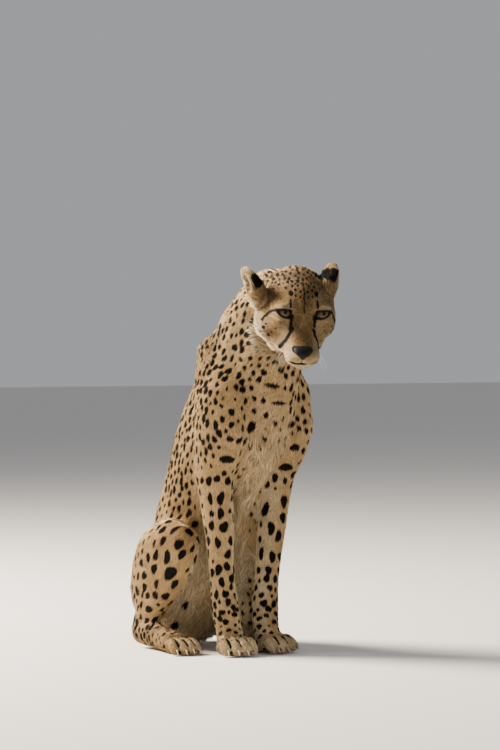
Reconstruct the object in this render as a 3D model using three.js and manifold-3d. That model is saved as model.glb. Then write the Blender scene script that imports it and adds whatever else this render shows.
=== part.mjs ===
// A life-size cheetah that sits upright on its haunches, forelegs straight and head turned a little to its right.
// Millimetres, +Z up. The animal faces -Y, its right side is at -X, and the floor is z = 0.
// The flesh is modelled as lofted masses, each through a few stations, and is parted with thin cuts into the
// pieces that a person would name. Eyes, nose and claws are pieces of their own, set into the flesh.
import * as THREE from "three";
import { mergeVertices } from "three/addons/utils/BufferGeometryUtils.js";
import Module from "manifold-3d";

const wasm = await Module();
wasm.setup();

// ---- Driving dimensions ----
const GAP = 0.3; // between two pieces that meet
const FAR = 3000; // the side of a cutting block, larger than the animal
const RIGHT = -1;
const LEFT = 1;
const SIDES = [RIGHT, LEFT];

const EYE_RADIUS = 17;
const EYE_APART = 39; // each eye's centre from the middle of the face
const EYE_BACK = 103; // in front of the nape
const EYE_UP = 27;

const HEAD_AT = [2, -238, 745]; // where the skull sits on the neck
const HEAD_YAW = 25; // degrees, towards the animal's right
const HEAD_PITCH = 40; // degrees, nose down
const HEAD_ROLL = 2; // degrees, the left ear lower

const MOUTH_UP = -37; // the level at which the jaw is parted from the head
const MOUTH_BACK = 84; // the jaw's hinge end, in front of the nape

const WRIST_UP = 66;
const ELBOW_UP = 392;
const ANKLE_UP = 62;
const TOES_BACK = 10; // where the right hind toes leave the foot

const TOES = 4;
const CLAW_LENGTH = 16;
const CLAW_RADIUS = 2.8;

// The left legs stand a little nearer the middle than the right ones, and the left hind foot further back.
const FOREPAW_AT = { [RIGHT]: [-53, -92], [LEFT]: [41, -88] };
const HIND_STANCE = { [RIGHT]: { inward: 0, back: 0 }, [LEFT]: { inward: 18, back: 50 } };

const DEGREE = Math.PI / 180;

// ---- Materials ----
const finish = (color, roughness) => new THREE.MeshStandardMaterial({ color, roughness, metalness: 0 });
const coat = finish(0xc79a62, 0.8);
const leather = finish(0x1c1917, 0.45);
const eyeball = finish(0x6b4318, 0.08);
const horn = finish(0x4a4038, 0.4);

// ---- Shaping tools ----

// A closed three.js geometry as a solid that can be joined and cut.
function solid(geometry) {
  const bare = new THREE.BufferGeometry();
  bare.setAttribute("position", geometry.getAttribute("position"));
  bare.setIndex(geometry.index);
  const merged = mergeVertices(bare, 1e-3);
  return new wasm.Manifold(
    new wasm.Mesh({
      numProp: 3,
      vertProperties: new Float32Array(merged.attributes.position.array),
      triVerts: new Uint32Array(merged.index.array),
    }),
  );
}

// A solid as a three.js geometry.
function geometryOf(body) {
  const { vertProperties, triVerts } = body.getMesh();
  const geometry = new THREE.BufferGeometry();
  geometry.setAttribute("position", new THREE.BufferAttribute(vertProperties, 3));
  geometry.setIndex(new THREE.BufferAttribute(triVerts, 1));
  geometry.computeVertexNormals();
  return geometry;
}

const join = (solids) => solids.reduce((whole, next) => whole.add(next));

// A smooth closed body through stations [x, y, z, halfWidth, halfDepth]. Depth is measured along `front` made
// square to the body's line, and width across both. Each end closes in a dome, `dome` times as deep as the end's
// smaller half. An `egg` above 0 narrows the side towards `front`, and `grow` swells the whole body.
function loft(stations, { front = [0, -1, 0], rings = 12, sides = 16, dome = 0.6, domeRings = 2, egg = 0, grow = 0 }) {
  const curve = (points) => new THREE.CatmullRomCurve3(points, false, "centripetal");
  const line = curve(stations.map(([x, y, z]) => new THREE.Vector3(x, y, z)));
  const facing = new THREE.Vector3(...front);
  const points = [];

  // The half-width and half-depth at t, taken from the stations on either side of it.
  function sizeAt(t) {
    const at = Math.min(t * (stations.length - 1), stations.length - 1 - 1e-9);
    const [before, after] = [stations[Math.floor(at)], stations[Math.floor(at) + 1]];
    const s = at - Math.floor(at);
    const ease = s * s * (3 - 2 * s) * 0.6 + s * 0.4;
    return [3, 4].map((k) => before[k] + (after[k] - before[k]) * ease);
  }

  function addRing(t, past, scale) {
    const [w, d] = sizeAt(t);
    const along = line.getTangent(t);
    const across = new THREE.Vector3().crossVectors(facing, along).normalize();
    const forward = new THREE.Vector3().crossVectors(along, across).normalize();
    const centre = line.getPoint(t).addScaledVector(along, past);
    for (let i = 0; i < sides; i++) {
      const angle = (2 * Math.PI * i) / sides;
      const x = (w * scale + grow) * Math.cos(angle) * (1 - egg * Math.sin(angle));
      const y = (d * scale + grow) * Math.sin(angle);
      points.push(centre.clone().addScaledVector(across, x).addScaledVector(forward, y));
    }
  }

  const reach = (t) => dome * Math.min(...sizeAt(t)) + grow;
  for (let k = domeRings; k > 0; k--) {
    const turn = (k / (domeRings + 1)) * (Math.PI / 2);
    addRing(0, -reach(0) * Math.sin(turn), Math.cos(turn));
  }
  for (let i = 0; i <= rings; i++) addRing(i / rings, 0, 1);
  for (let k = 1; k <= domeRings; k++) {
    const turn = (k / (domeRings + 1)) * (Math.PI / 2);
    addRing(1, reach(1) * Math.sin(turn), Math.cos(turn));
  }

  const faces = [];
  const rows = points.length / sides;
  for (let r = 0; r + 1 < rows; r++) {
    for (let i = 0; i < sides; i++) {
      const a = r * sides + i;
      const b = r * sides + ((i + 1) % sides);
      faces.push(a, b, b + sides, a, b + sides, a + sides);
    }
  }
  const start = points.push(line.getPoint(0).addScaledVector(line.getTangent(0), -reach(0))) - 1;
  const end = points.push(line.getPoint(1).addScaledVector(line.getTangent(1), reach(1))) - 1;
  for (let i = 0; i < sides; i++) {
    const next = (i + 1) % sides;
    faces.push(start, next, i);
    faces.push(end, (rows - 1) * sides + i, (rows - 1) * sides + next);
  }
  return solid(new THREE.BufferGeometry().setFromPoints(points).setIndex(faces));
}

// An ellipsoid, turned about X and then about Z, in degrees.
function ball([x, y, z], [rx, ry, rz], { tilt = 0, turn = 0, detail = 7, grow = 0 } = {}) {
  const geometry = new THREE.SphereGeometry(1, 2 * detail, detail);
  geometry.scale(rx + grow, ry + grow, rz + grow);
  geometry.rotateX(tilt * DEGREE).rotateZ(turn * DEGREE).translate(x, y, z);
  return solid(geometry);
}

// Everything on the side of a plane that its normal points to.
function beyond(point, normal) {
  const geometry = new THREE.BoxGeometry(FAR, FAR, FAR).translate(0, 0, FAR / 2);
  const up = new THREE.Vector3(0, 0, 1);
  geometry.applyQuaternion(new THREE.Quaternion().setFromUnitVectors(up, new THREE.Vector3(...normal).normalize()));
  return solid(geometry.translate(...point));
}

// The pieces of a body parted with thin cuts, each at a point and square to a normal, in order along the normals.
function part(body, cuts) {
  const pieces = [];
  let rest = body;
  for (const [at, normal] of cuts) {
    const after = new THREE.Vector3(...normal).setLength(GAP).add(new THREE.Vector3(...at));
    pieces.push(rest.subtract(beyond(at, normal)));
    rest = rest.intersect(beyond(after.toArray(), normal));
  }
  return [...pieces, rest];
}

const mirror = (side, stations) => stations.map(([x, ...others]) => [side * x, ...others]);
const both = (make) => SIDES.map(make);
const aboveFloor = beyond([0, 0, 0], [0, 0, 1]);

// ---- Trunk and neck ----
// Stations run up the middle of the body, from the seat to the skull.
const TRUNK = [
  [0, 160, 48, 76, 84],
  [0, 136, 135, 98, 98],
  [0, 98, 222, 102, 106],
  [0, 58, 310, 97, 110],
  [0, 14, 392, 101, 124],
  [0, -38, 466, 104, 133],
  [0, -86, 550, 95, 128],
  [0, -122, 632, 90, 116],
  [0, -164, 692, 78, 92],
  [0, -206, 736, 68, 76],
];
const torso = loft(TRUNK, { rings: 11, sides: 12, egg: 0.1, dome: 0.5 });
// Loose skin and long hair hang between the belly and the far thigh, behind the forelegs.
const flankFold = join([
  ball([44, 32, 82], [30, 70, 68]),
  ball([62, 40, 152], [30, 60, 62]),
  ball([58, 2, 275], [30, 30, 44]),
]);

// ---- Foreleg ----
// The legs' lower stations follow the paw, and the shoulder stays with the trunk.
function foreleg(side, grow = 0) {
  const [pawX, pawY] = FOREPAW_AT[side];
  const stations = [
    [0, -2, 28, 32, 26],
    [1, 8, 58, 28, 25],
    [3, 15, 96, 31, 29],
    [7, 18, 140, 26, 27],
    [13, 18, 210, 26, 31],
    [19, 18, 290, 31, 39],
    [26, 22, 365, 37, 52],
    [32, 2, 430, 41, 68],
    [34, -14, 495, 43, 76],
    [24, 8, 565, 38, 74],
    [4, 52, 640, 27, 52],
  ];
  const settle = (z) => Math.min(z / 430, 1); // 0 at the paw, 1 at the shoulder
  const placed = stations.map(([x, y, z, w, d]) => {
    const base = [pawX + (side * 51 - pawX) * settle(z), pawY + (-90 - pawY) * settle(z)];
    return [base[0] + side * x, base[1] + y, z, w, d];
  });
  return loft(placed, { rings: 13, sides: 10, dome: 0.6, domeRings: 1, grow });
}

// ---- Hind leg ----
// `share` is how far a station moves with the foot.
function stand(side, stations) {
  const { inward, back } = HIND_STANCE[side];
  return stations.map(([x, y, z, w, d, share]) => [side * (x - inward * share), y + back * share, z, w, d]);
}
const thigh = (side, grow = 0) =>
  loft(
    stand(side, [
      [112, -10, 228, 37, 40, 1],
      [112, 32, 216, 50, 68, 1],
      [104, 84, 180, 56, 86, 0.8],
      [88, 134, 136, 55, 82, 0.4],
      [66, 174, 102, 49, 68, 0],
    ]),
    { front: [0, 0, 1], rings: 6, sides: 12, dome: 0.7, grow },
  );
const shank = (side, grow = 0) =>
  loft(
    stand(side, [
      [119, 140, 48, 22, 26, 1],
      [119, 102, 90, 28, 36, 1],
      [118, 56, 144, 38, 48, 1],
      [115, 14, 194, 41, 48, 1],
      [111, -4, 222, 37, 40, 1],
    ]),
    { rings: 5, sides: 10, dome: 0.7, domeRings: 1, grow },
  );
const metatarsus = (side, grow = 0) =>
  loft(
    stand(side, [
      [119, 148, 36, 20, 28, 1],
      [121, 110, 36, 24, 32, 1],
      [125, 60, 28, 24, 26, 1],
      [129, 18, 25, 29, 25, 1],
      [131, -4, 22, 32, 22, 1],
    ]),
    { front: [0, 0, 1], rings: 4, sides: 9, dome: 0.7, domeRings: 1, grow },
  );

// ---- Paws ----
// A paw points along -Y from its own origin on the floor. Each toe arches to a knuckle and turns down to its tip.
function paw({ width, length, height }) {
  const pad = ball([0, 4, height * 0.5], [width * 0.42, length * 0.5, height * 0.62], { detail: 4 });
  const toes = [];
  const claws = [];
  for (let i = 0; i < TOES; i++) {
    const across = (i - (TOES - 1) / 2) / ((TOES - 1) / 2); // -1 to 1 over the paw
    const reach = length * (Math.abs(across) < 0.5 ? 1 : 0.84);
    const spread = across * width * 0.36;
    const thick = width * 0.157;
    toes.push(
      loft(
        [
          [spread * 0.7, -length * 0.05, height * 0.66, thick, thick],
          [spread * 0.9, -length * 0.42, height * 0.84, thick * 1.02, thick * 1.05],
          [spread, -reach * 0.76, height * 0.68, thick * 1.04, thick * 1.1],
          [spread * 1.04, -reach, height * 0.38, thick, thick * 1.02],
        ],
        { front: [0, 0, 1], rings: 4, sides: 9, dome: 0.8, domeRings: 1 },
      ),
    );
    const root = [spread * 1.04, -reach - thick * 0.55, height * 0.46];
    claws.push({ root, tip: [spread * 1.07, root[1] - CLAW_LENGTH * 0.72, root[2] - CLAW_LENGTH * 0.68] });
  }
  return { flesh: join([pad, ...toes]), claws };
}

function claw({ root, tip }, grow = 0) {
  const middle = [(root[0] + tip[0]) / 2, (root[1] + tip[1]) / 2 - 1.5, (root[2] + tip[2]) / 2 + 2.5];
  return loft(
    [
      [...root, CLAW_RADIUS, CLAW_RADIUS * 1.2],
      [...middle, CLAW_RADIUS * 0.75, CLAW_RADIUS * 0.95],
      [...tip, 0.7, 0.7],
    ],
    { front: [0, 0, 1], rings: 2, sides: 4, dome: 0.8, domeRings: 0, grow },
  );
}

// A paw with its claws and their sockets, turned outwards and set down at [x, y].
function placedPaw([x, y], toeOut, sizes) {
  const { flesh, claws } = paw(sizes);
  const place = (body) => body.rotate([0, 0, toeOut]).translate([x, y, 0]);
  return {
    flesh: place(flesh),
    claws: claws.map((where) => place(claw(where))),
    sockets: claws.map((where) => place(claw(where, GAP))),
  };
}
const forePaw = (side) => placedPaw(FOREPAW_AT[side], side * 12, { width: 78, length: 56, height: 34 });
function hindPaw(side) {
  const [[x, y]] = stand(side, [[131, -8, 0, 0, 0, 1]]);
  return placedPaw([x, y], side * 6, { width: 68, length: 50, height: 30 });
}

// ---- Tail ----
// It leaves the seat behind, drops to the floor and lies there in an easy curve towards the left.
const TAIL = [
  [0, 196, 74, 28, 28],
  [8, 250, 42, 26, 26],
  [38, 302, 26, 24, 24],
  [104, 346, 23, 23, 23],
  [192, 378, 22, 22, 22],
  [280, 408, 22, 22, 22],
  [350, 462, 22, 22, 22],
  [374, 546, 22, 23, 22],
  [338, 620, 23, 24, 23],
  [276, 640, 20, 17, 18],
];
const tail = (grow = 0) => loft(TAIL, { front: [0, 0, 1], rings: 15, sides: 8, dome: 1.2, domeRings: 1, grow });

// ---- Head ----
// In its own frame the head faces -Y with its mouth level, and its origin is at the top of the neck.
const placeHead = (body) => body.rotate([HEAD_PITCH, HEAD_ROLL, 0]).rotate([0, 0, -HEAD_YAW]).translate(HEAD_AT);

function headFlesh(grow = 0) {
  const skull = loft(
    [
      [0, 10, 8, 54, 50],
      [0, -30, 12, 70, 60],
      [0, -62, 8, 77, 66],
      [0, -88, 0, 73, 61],
      [0, -105, -7, 61, 50],
    ],
    { front: [0, 0, 1], rings: 6, sides: 12, dome: 0.36, egg: 0.1, grow },
  );
  const muzzle = loft(
    [
      [0, -92, -14, 52, 46],
      [0, -118, -18, 42, 40],
      [0, -144, -25, 35, 33],
      [0, -164, -29, 34, 28],
      [0, -176, -31, 30, 24],
    ],
    { front: [0, 0, 1], rings: 5, sides: 12, dome: 0.5, domeRings: 1, egg: 0.14, grow },
  );
  return join([
    skull,
    muzzle,
    ...both((s) => ball([s * 48, -64, -22], [33, 48, 38], { detail: 5, turn: -s * 12, grow })), // cheek
    ...both((s) => ball([s * 38, -92, 32], [27, 30, 20], { detail: 5, turn: -s * 15, grow })), // brow
    ...both((s) => ball([s * 31, -100, -40], [24, 42, 24], { detail: 5, turn: -s * 8, grow })), // jowl
    ...both((s) => ball([s * 18, -167, -28], [20, 23, 19], { detail: 5, grow })), // whisker pad
    ball([0, -166, -48], [20, 19, 13], { detail: 5, grow }), // chin
  ]);
}
const nose = (grow = 0) =>
  loft(
    [
      [0, -172, -8, 15, 9],
      [0, -185, -12, 20, 12],
      [0, -191, -16, 14, 9],
    ],
    { front: [0, 0, 1], rings: 4, sides: 8, dome: 0.4, domeRings: 1, egg: -0.25, grow },
  );
const eye = (side, grow = 0) =>
  ball([side * EYE_APART, -EYE_BACK, EYE_UP], [EYE_RADIUS, EYE_RADIUS, EYE_RADIUS], { detail: 6, grow });

// The hollow in front of an eye, between its lids.
const eyeOpening = (side) =>
  ball([side * (EYE_APART + 2), -EYE_BACK - 19, EYE_UP + 1], [17, 17, 11], { turn: side * 14, detail: 6 });

// A round, shallow cup on the line of `lean`, its hollow facing `towards`. The ears are laid outwards and back,
// the left one further back.
const EARS = {
  [RIGHT]: { at: [-85, -44, 28], lean: [-0.5, 0.46, 0.7], towards: [-0.84, -0.35, -0.3] },
  [LEFT]: { at: [55, -38, 38], lean: [0.26, 0.76, 0.58], towards: [0.9, 0.05, -0.42] },
};
const EAR = [
  [-18, 22, 20],
  [6, 26, 20],
  [22, 28, 17],
  [38, 25, 13],
  [51, 15, 8],
];
const EAR_HOLLOW = [
  [8, 18, 15],
  [24, 23, 14],
  [38, 20, 10],
  [48, 10, 6],
];
function ear(side, { hollow = true, grow = 0 } = {}) {
  const { at, lean, towards } = EARS[side];
  const along = new THREE.Vector3(...lean).normalize();
  const out = new THREE.Vector3(...towards).normalize();
  const cup = (rows, shift, shape) => {
    const root = new THREE.Vector3(...at).addScaledVector(out, shift);
    const stations = rows.map(([length, w, d]) => [...root.clone().addScaledVector(along, length), w, d]);
    return loft(stations, { front: towards, rings: 4, sides: 9, domeRings: 1, ...shape });
  };
  const shell = cup(EAR, 0, { dome: 0.8, grow });
  return hollow ? shell.subtract(cup(EAR_HOLLOW, 10, { rings: 3, sides: 7 })) : shell;
}

// ---- Putting the animal together ----
const animal = new THREE.Group();

function add(name, body, material = coat) {
  const mesh = new THREE.Mesh(geometryOf(body.intersect(aboveFloor)), material);
  mesh.name = name;
  animal.add(mesh);
}
const sideName = (side) => (side === RIGHT ? "right" : "left");
const largest = (body) => body.decompose().reduce((best, next) => (next.volume() > best.volume() ? next : best));
const cut = (body, tools) => tools.reduce((rest, tool) => rest.subtract(tool), body);

// The head is opened for its eyes and nose, and the jaw is parted from it along the mouth.
const headGrown = headFlesh(GAP);
const face = cut(headFlesh(), [nose(GAP), ...both((s) => eye(s, GAP)), ...both(eyeOpening)]);
const underMouth = (gap) =>
  beyond([0, 0, MOUTH_UP - gap], [0, 0, -1]).intersect(beyond([0, -MOUTH_BACK - gap, 0], [0, -1, 0]));
add("head", placeHead(face.subtract(underMouth(0))));
add("jaw", placeHead(face.intersect(underMouth(GAP))));
add("nose", placeHead(nose()), leather);
for (const side of SIDES) {
  add(`ear_${sideName(side)}`, placeHead(ear(side).subtract(headGrown)));
  add(`eye_${sideName(side)}`, placeHead(eye(side)), eyeball);
}

// The trunk gives way to the head, the ears, the legs and the tail, and is parted across its length.
const trunk = cut(torso.add(flankFold), [
  placeHead(headGrown),
  ...both((s) => placeHead(ear(s, { hollow: false, grow: GAP }))),
  ...both((s) => foreleg(s, GAP)),
  ...both((s) => thigh(s, GAP)),
  ...both((s) => shank(s, GAP)),
  tail(GAP),
]);
const [rump, belly, chest, neck] = part(trunk, [
  [[0, 98, 222], [0, -0.42, 0.91]],
  [[0, 14, 392], [0, -0.5, 0.86]],
  [[0, -104, 596], [0, -0.55, 0.84]],
]);
add("rump", largest(rump));
add("belly", largest(belly));
add("chest", chest);
add("neck", neck);

const [tailBase, tailMiddle, tailTip] = part(tail(), [
  [[170, 372, 22], [1, 0.3, 0]],
  [[370, 520, 22], [0, 1, 0]],
]);
add("tail_base", tailBase);
add("tail_middle", tailMiddle);
add("tail_tip", tailTip);

for (const side of SIDES) {
  const name = sideName(side);

  const front = forePaw(side);
  const wholeForeleg = cut(foreleg(side).add(front.flesh), front.sockets);
  const [paw, forearm, shoulder] = part(wholeForeleg, [
    [[0, 0, WRIST_UP], [0, 0, 1]],
    [[0, 0, ELBOW_UP], [0, 0, 1]],
  ]);
  add(`fore_paw_${name}`, paw);
  add(`forearm_${name}`, forearm);
  add(`shoulder_${name}`, shoulder);
  front.claws.forEach((body, i) => add(`fore_claw_${name}_${i + 1}`, body, horn));

  const hind = hindPaw(side);
  const belowKnee = cut(join([shank(side), metatarsus(side), hind.flesh]), [thigh(side, GAP), ...hind.sockets]);
  const [foot, shankPiece] = part(belowKnee, [[[0, 0, ANKLE_UP], [0, 0, 1]]]);
  const [metatarsusPiece, toes] = part(foot, [[[0, TOES_BACK + HIND_STANCE[side].back, 0], [0, -1, 0]]]);
  add(`thigh_${name}`, thigh(side));
  add(`shank_${name}`, largest(shankPiece));
  add(`metatarsus_${name}`, metatarsusPiece);
  add(`hind_paw_${name}`, toes);
  hind.claws.forEach((body, i) => add(`hind_claw_${name}_${i + 1}`, body, horn));
}

// The frame's origin is under the middle of the whole animal, on the floor.
const box = new THREE.Box3().setFromObject(animal);
const middle = box.getCenter(new THREE.Vector3());
for (const mesh of animal.children) mesh.geometry.translate(-middle.x, -middle.y, -box.min.z);

export default animal;
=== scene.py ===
"""A life-size seated cheetah: one hide over the whole body, its coat in tufts, its eyes, nose and claws."""

import math

import bpy
import numpy as np
from mathutils import Matrix, Vector
from mathutils.bvhtree import BVHTree


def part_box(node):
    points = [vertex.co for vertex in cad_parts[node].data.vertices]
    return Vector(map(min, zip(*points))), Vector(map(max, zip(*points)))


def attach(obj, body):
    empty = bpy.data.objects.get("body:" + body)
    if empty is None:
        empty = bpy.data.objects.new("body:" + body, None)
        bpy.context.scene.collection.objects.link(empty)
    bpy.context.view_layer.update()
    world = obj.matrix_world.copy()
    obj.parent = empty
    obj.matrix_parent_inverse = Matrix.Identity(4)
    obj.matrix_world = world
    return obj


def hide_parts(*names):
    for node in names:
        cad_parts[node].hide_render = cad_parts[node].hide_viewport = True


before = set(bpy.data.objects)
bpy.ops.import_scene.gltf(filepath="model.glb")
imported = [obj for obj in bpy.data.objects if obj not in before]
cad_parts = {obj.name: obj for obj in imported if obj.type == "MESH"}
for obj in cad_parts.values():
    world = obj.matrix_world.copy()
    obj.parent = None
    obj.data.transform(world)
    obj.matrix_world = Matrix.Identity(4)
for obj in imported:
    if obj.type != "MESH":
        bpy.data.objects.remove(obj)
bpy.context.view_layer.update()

# ---- Camera ----
# A long lens stands a little above the animal's chest and looks at it from its right front, slightly down.
# It is aimed beside the animal's middle, which puts the animal where it sits in the frame.
CAMERA_AIM = Vector((-0.0716, -0.1716, 0.573))
CAMERA_TURN = math.radians(-35)
CAMERA_FAR = 6.5
CAMERA_UP = 0.65
LENS = 149.8

camera = bpy.data.objects.new("camera", bpy.data.cameras.new("camera"))
bpy.context.scene.collection.objects.link(camera)
bpy.context.scene.camera = camera
camera.data.lens = LENS
camera.data.clip_end = 100
camera.location = (
    CAMERA_AIM.x + CAMERA_FAR * math.sin(CAMERA_TURN),
    CAMERA_AIM.y - CAMERA_FAR * math.cos(CAMERA_TURN),
    CAMERA_UP,
)
camera.rotation_euler = (CAMERA_AIM - camera.location).to_track_quat("-Z", "Y").to_euler()

# ---- The head's own axes ----
# The head is turned to its right and bowed. Places on it are (left, forward, up) in millimetres from the
# point midway between the eyes. Its markings go by how far left and down the face they are, seen level.
HEAD_YAW, HEAD_PITCH, HEAD_ROLL = (math.radians(a) for a in (25, 40, 2))
SIDES = {"right": -1, "left": 1}


def middle_of(node):
    low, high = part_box(node)
    return np.array((low + high) / 2)


EYES = {side: middle_of(f"eye_{side}") for side in SIDES}
HEAD_AT = (EYES["right"] + EYES["left"]) / 2
LEVEL = np.array((0.0, math.cos(HEAD_PITCH), math.sin(HEAD_PITCH)))  # level ahead, on the bowed head's axes
HEAD_AXES = np.array(
    Matrix.Rotation(-HEAD_YAW, 3, "Z")
    @ Matrix.Rotation(HEAD_ROLL, 3, "Y")
    @ Matrix.Rotation(HEAD_PITCH, 3, "X")
    @ Matrix.Diagonal((1, -1, 1))
)


def in_frame(left, forward, up):
    """A place on the head, in the frame's metres."""
    return HEAD_AT + HEAD_AXES @ (np.array((left, forward, up)) / 1000)


def on_head(points):
    """Places in the frame as left, forward and up on the head."""
    return ((points - HEAD_AT) @ HEAD_AXES * 1000).T


def down_face(forward, up):
    """How far down the face places on the head are, seen level."""
    return forward * math.sin(HEAD_PITCH) - up * math.cos(HEAD_PITCH)


# ---- Skin: one closed hide in place of every piece of flesh ----
# Copies of the solids, swelled until they meet, are fused on a fine grid, and the flats of their facets are
# smoothed away against a coarser fusion of them.
MERGE = 1e-5
FUSE_SWELL = 0.0006
FORM_GRID, FORM_ROUNDS = 0.006, 200
SKIN_GRID, SKIN_ROUNDS = 0.0026, 12
FLESH = [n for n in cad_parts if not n.startswith(("eye_", "nose")) and "claw" not in n]
FILLING = ["eye_right", "eye_left", "nose"]
PAWS = ("fore_paw_right", "fore_paw_left", "hind_paw_right", "hind_paw_left")
# Each ear's root on the head, the way it leans and the way its hollow faces.
EARS = {
    "right": ((-85, -59, 1), (-0.5, -0.46, 0.7), (-0.84, 0.35, -0.3)),
    "left": ((55, -65, 11), (0.26, -0.76, 0.58), (0.9, -0.05, -0.42)),
}
EAR_HEIGHT = 58.0


def choose(piece):
    bpy.ops.object.select_all(action="DESELECT")
    piece.select_set(True)
    bpy.context.view_layer.objects.active = piece


def apply_modifier(piece, kind, **settings):
    choose(piece)
    modifier = piece.modifiers.new(kind.lower(), kind)
    for name, value in settings.items():
        setattr(modifier, name, value)
    bpy.ops.object.modifier_apply(modifier=modifier.name)


def new_piece(name, data):
    """A new object of a mesh or a lamp's data, put in the scene."""
    piece = bpy.data.objects.new(name, data)
    bpy.context.scene.collection.objects.link(piece)
    return piece


def edit_all(piece, operator, **settings):
    """Runs an edit-mode operator on the whole of a piece."""
    choose(piece)
    bpy.ops.object.mode_set(mode="EDIT")
    bpy.ops.mesh.select_all(action="SELECT")
    operator(**settings)
    bpy.ops.object.mode_set(mode="OBJECT")


def copy_of(names, joined_name):
    """Copies of CAD nodes as one object, with its doubled points merged."""
    copies = [new_piece(joined_name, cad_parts[name].data.copy()) for name in names]
    choose(copies[0])
    for piece in copies:
        piece.select_set(True)
    if len(copies) > 1:
        bpy.ops.object.join()
    edit_all(copies[0], bpy.ops.mesh.remove_doubles, threshold=MERGE)
    copies[0].data.materials.clear()
    return copies[0]


def places(piece, what="co"):
    """The places of a piece's points, or their normals, as rows of x, y, z."""
    values = np.empty(len(piece.data.vertices) * 3, np.float32)
    piece.data.vertices.foreach_get(what, values)
    return values.reshape(-1, 3).astype(float)


def set_places(piece, points):
    piece.data.vertices.foreach_set("co", np.ascontiguousarray(points, np.float32).ravel())
    piece.data.update()


def relax(piece, rounds, give=0.5, take=-0.51):
    """Evens a mesh out, in and out again each round, so that it keeps its volume."""
    ends = np.empty(len(piece.data.edges) * 2, np.int32)
    piece.data.edges.foreach_get("vertices", ends)
    a, b = ends.reshape(-1, 2).T
    points = places(piece)
    count = len(points)
    valence = np.maximum(np.bincount(a, minlength=count) + np.bincount(b, minlength=count), 1)
    for _ in range(rounds):
        for step in (give, take):
            for axis in range(3):
                values = points[:, axis]
                total = np.bincount(a, values[b], count) + np.bincount(b, values[a], count)
                points[:, axis] = values + step * (total / valence - values)
    set_places(piece, points)


def smoothstep(x, low, high):
    """0 below one value to 1 above another, without a corner."""
    t = np.clip((x - low) / (high - low), 0, 1)
    return t * t * (3 - 2 * t)


def near_nodes(points, names, reach):
    """1 within the boxes of these nodes, falling to 0 at `reach` from them."""
    share = np.zeros(len(points))
    for name in names:
        low, high = (np.array(corner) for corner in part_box(name))
        away = np.maximum(np.maximum(low - points, points - high), 0)
        share = np.maximum(share, 1 - smoothstep(np.linalg.norm(away, axis=1), 0, reach))
    return share


def near_ears(points, reach):
    return near_nodes(points, [f"ear_{side}" for side in SIDES], reach)


def weigh(piece, name, weights, levels=20):
    """A vertex group whose weights are rounded to so many levels, so that it is quick to fill."""
    group = piece.vertex_groups.new(name=name)
    steps = np.round(weights * levels).astype(int)
    for value in np.unique(steps):
        group.add(np.nonzero(steps == value)[0].tolist(), value / levels, "REPLACE")


skin = copy_of(FLESH + FILLING, "skin")
apply_modifier(skin, "DISPLACE", strength=FUSE_SWELL, mid_level=0)
form = new_piece("form", skin.data.copy())
apply_modifier(form, "REMESH", mode="VOXEL", voxel_size=FORM_GRID)
relax(form, FORM_ROUNDS)
apply_modifier(form, "SUBSURF", levels=1, render_levels=1)
apply_modifier(skin, "REMESH", mode="VOXEL", voxel_size=SKIN_GRID)
relax(skin, SKIN_ROUNDS)
fused = places(skin)
weigh(skin, "broad", 1 - np.maximum(near_ears(fused, 0.008), near_nodes(fused, PAWS, 0.03)))
apply_modifier(skin, "SHRINKWRAP", target=form, wrap_method="NEAREST_SURFACEPOINT", vertex_group="broad")
bpy.data.objects.remove(form)
relax(skin, 8)

# ---- The lie of the coat ----
# Lines run over the animal the way its hair lies. A station is x, y, z in the frame, then the hair's length
# and the spots' spacing, half-length and half-width, in millimetres, then the ground colour, from 0 for cream
# to 1 for rufous.
MIDDLE = -112  # x of the animal's middle


def mirrored(stations, shift_x, shift_y):
    """The same line on the animal's other side, shifted."""
    return [(2 * MIDDLE - x + shift_x, y + shift_y, *others) for x, y, *others in stations]


def head_line(stations):
    """A line given on the head's own axes, in the frame."""
    return [(*(in_frame(*s[:3]) * 1000), *s[3:]) for s in stations]


SPINE = [
    (-112, -300, 790, 14, 14, 6.4, 5.0, 0.66),
    (-112, -232, 747, 17, 14, 6.2, 5.0, 0.66),
    (-112, -115, 611, 12, 15, 6.2, 4.4, 0.70),
    (-112, -21, 454, 11, 15, 6.6, 4.4, 0.72),
    (-112, 52, 266, 11, 17, 7.0, 5.0, 0.70),
    (-112, 98, 90, 12, 20, 7.0, 5.6, 0.64),
]
# Where the flank's line starts at the neck, its ground colour is paler than the hair's own, as painted light.
FLANK = [
    (-185, -320, 700, 11, 16, 6.2, 5.0, 0.50),
    (-207, -228, 550, 9.5, 16.5, 7.2, 5.8, 0.58),
    (-213, -128, 392, 9.5, 15, 7.6, 4.8, 0.64),
    (-214, -44, 222, 11, 16, 6.8, 4.6, 0.60),
    (-195, 30, 70, 14, 22, 7.4, 6.0, 0.56),
]
CHEST = [
    (-112, -390, 650, 12, 17, 6.2, 5.6, 0.52),
    (-112, -352, 520, 12, 19, 6.8, 6.2, 0.54),
    (-112, -318, 452, 19, 24, 5.6, 4.6, 0.38),
    (-112, -235, 330, 27, 22, 0, 0, 0.24),
    (-112, -140, 178, 22, 22, 0, 0, 0.18),
    (-112, -63, 40, 20, 22, 0, 0, 0.24),
]
GROIN = [
    (-165, -140, 225, 15, 24, 5.0, 4.5, 0.26),
    (-166, -80, 110, 24, 24, 0, 0, 0.04),
    (-172, -28, 36, 20, 24, 0, 0, 0.12),
]
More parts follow.
